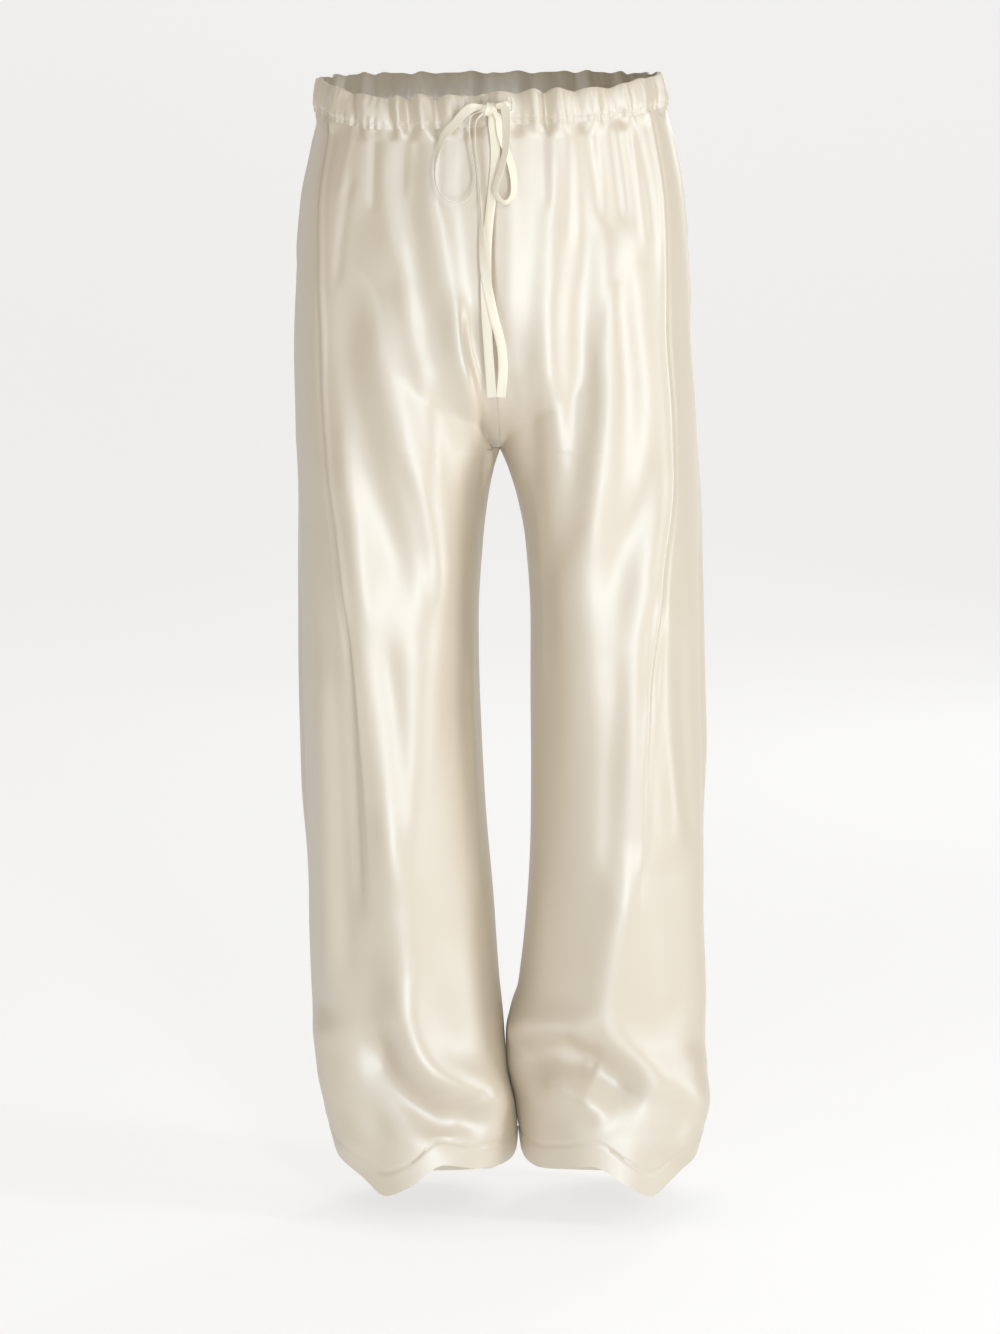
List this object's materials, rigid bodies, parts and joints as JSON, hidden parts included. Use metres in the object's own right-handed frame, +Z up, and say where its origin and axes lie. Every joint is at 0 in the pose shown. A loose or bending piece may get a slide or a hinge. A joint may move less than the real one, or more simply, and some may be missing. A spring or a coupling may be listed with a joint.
{
  "type": "drawstring wide-leg trousers",
  "caption": "Cream satin wide-leg trousers with a gathered drawstring waist, a flat tape tied in a bow in front, straight loose legs and a break at the hems, hollow as worn.",
  "frame": {"origin": "inside the waist opening, in its middle, at the height where the drawstring leaves the casing", "axes": "+Z up along the legs' length, the front faces -Y and the wearer's left side is +X"},
  "size_m": [0.4289, 0.2819, 1.1736],
  "materials": {
    "satin": "cream satin with a soft sheen and fine weave",
    "tape": "pale cream satin tape with a soft sheen",
    "thread": "matte cream sewing thread"
  },
  "bodies": {
    "root": {"front_panel_right": "satin", "front_panel_left": "satin", "back_panel_right": "satin", "back_panel_left": "satin", "waist_casing_front": "satin", "waist_casing_back": "satin", "hem_turning_right": "satin", "hem_turning_left": "satin", "buttonhole_right": "thread", "buttonhole_left": "thread", "drawstring_knot": "tape", "drawstring_lead_right": "tape", "drawstring_lead_left": "tape", "drawstring_loop_right": "tape", "drawstring_loop_left": "tape", "drawstring_tail_right": "tape", "drawstring_tail_left": "tape"}
  },
  "joints": []
}
